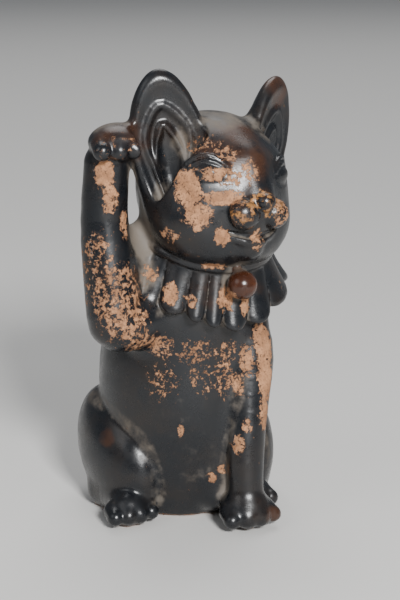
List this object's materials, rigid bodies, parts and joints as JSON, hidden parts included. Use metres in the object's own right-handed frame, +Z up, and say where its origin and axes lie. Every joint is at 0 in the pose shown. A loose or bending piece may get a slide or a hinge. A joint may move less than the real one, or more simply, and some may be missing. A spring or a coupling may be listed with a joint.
{
  "type": "beckoning cat figurine",
  "caption": "Seated hollow clay cat with a paw raised beside its ear, a pleated frill collar and a ball bell, standing on a flat foot.",
  "frame": {"origin": "on the underside of the clay floor, on the body's mid-plane, at the surface the figure stands on", "axes": "+Z up towards the ears, -Y the way the cat faces, +X the cat's own left"},
  "size_m": [0.0797, 0.0866, 0.156],
  "materials": {
    "lacquer": "glossy black-brown coat, flaked to tan clay in patches",
    "bell_glaze": "glossy translucent red-brown",
    "bare_clay": "matte fired clay"
  },
  "bodies": {
    "root": {"front_shell": "lacquer", "rear_shell": "lacquer", "base_slab": "bare_clay", "right_ear": "lacquer", "left_ear": "lacquer", "raised_foreleg": "lacquer", "raised_paw": "lacquer", "standing_foreleg": "lacquer", "collar_band": "lacquer", "collar_frill": "lacquer", "bell": "bell_glaze", "tail": "lacquer"}
  },
  "joints": []
}
